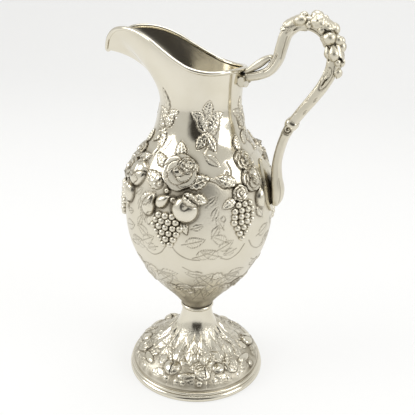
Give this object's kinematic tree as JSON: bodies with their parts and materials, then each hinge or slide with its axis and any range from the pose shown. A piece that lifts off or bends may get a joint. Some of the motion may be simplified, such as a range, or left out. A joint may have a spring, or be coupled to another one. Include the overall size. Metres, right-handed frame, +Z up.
{
  "type": "footed pitcher",
  "caption": "Footed metal pitcher with an urn-shaped bowl, a drawn-out pouring lip and a high scroll handle.",
  "frame": {"origin": "centre of the foot's resting ring, on the body's axis", "axes": "+Z up along the body's axis, +X towards the handle, -X towards the pouring lip"},
  "size_m": [0.19, 0.1265, 0.3096],
  "materials": {
    "silver_polished": "polished silver",
    "silver_chased": "chased silver, toned in the recesses",
    "silver_cast": "cast silver, toned in the recesses"
  },
  "bodies": {
    "root": {"foot_band": "silver_polished", "foot_pedestal": "silver_chased", "waist_collar": "silver_polished", "body_bowl": "silver_chased", "neck_and_spout": "silver_polished", "rim_wire": "silver_polished", "thumb_scroll": "silver_polished", "handle_root": "silver_cast", "handle_upper_scroll": "silver_cast", "handle_crest": "silver_cast", "handle_grip": "silver_cast", "handle_leaf_collar": "silver_cast", "handle_lower_arm": "silver_cast", "handle_terminal": "silver_cast", "handle_body_plate": "silver_cast"}
  },
  "joints": []
}
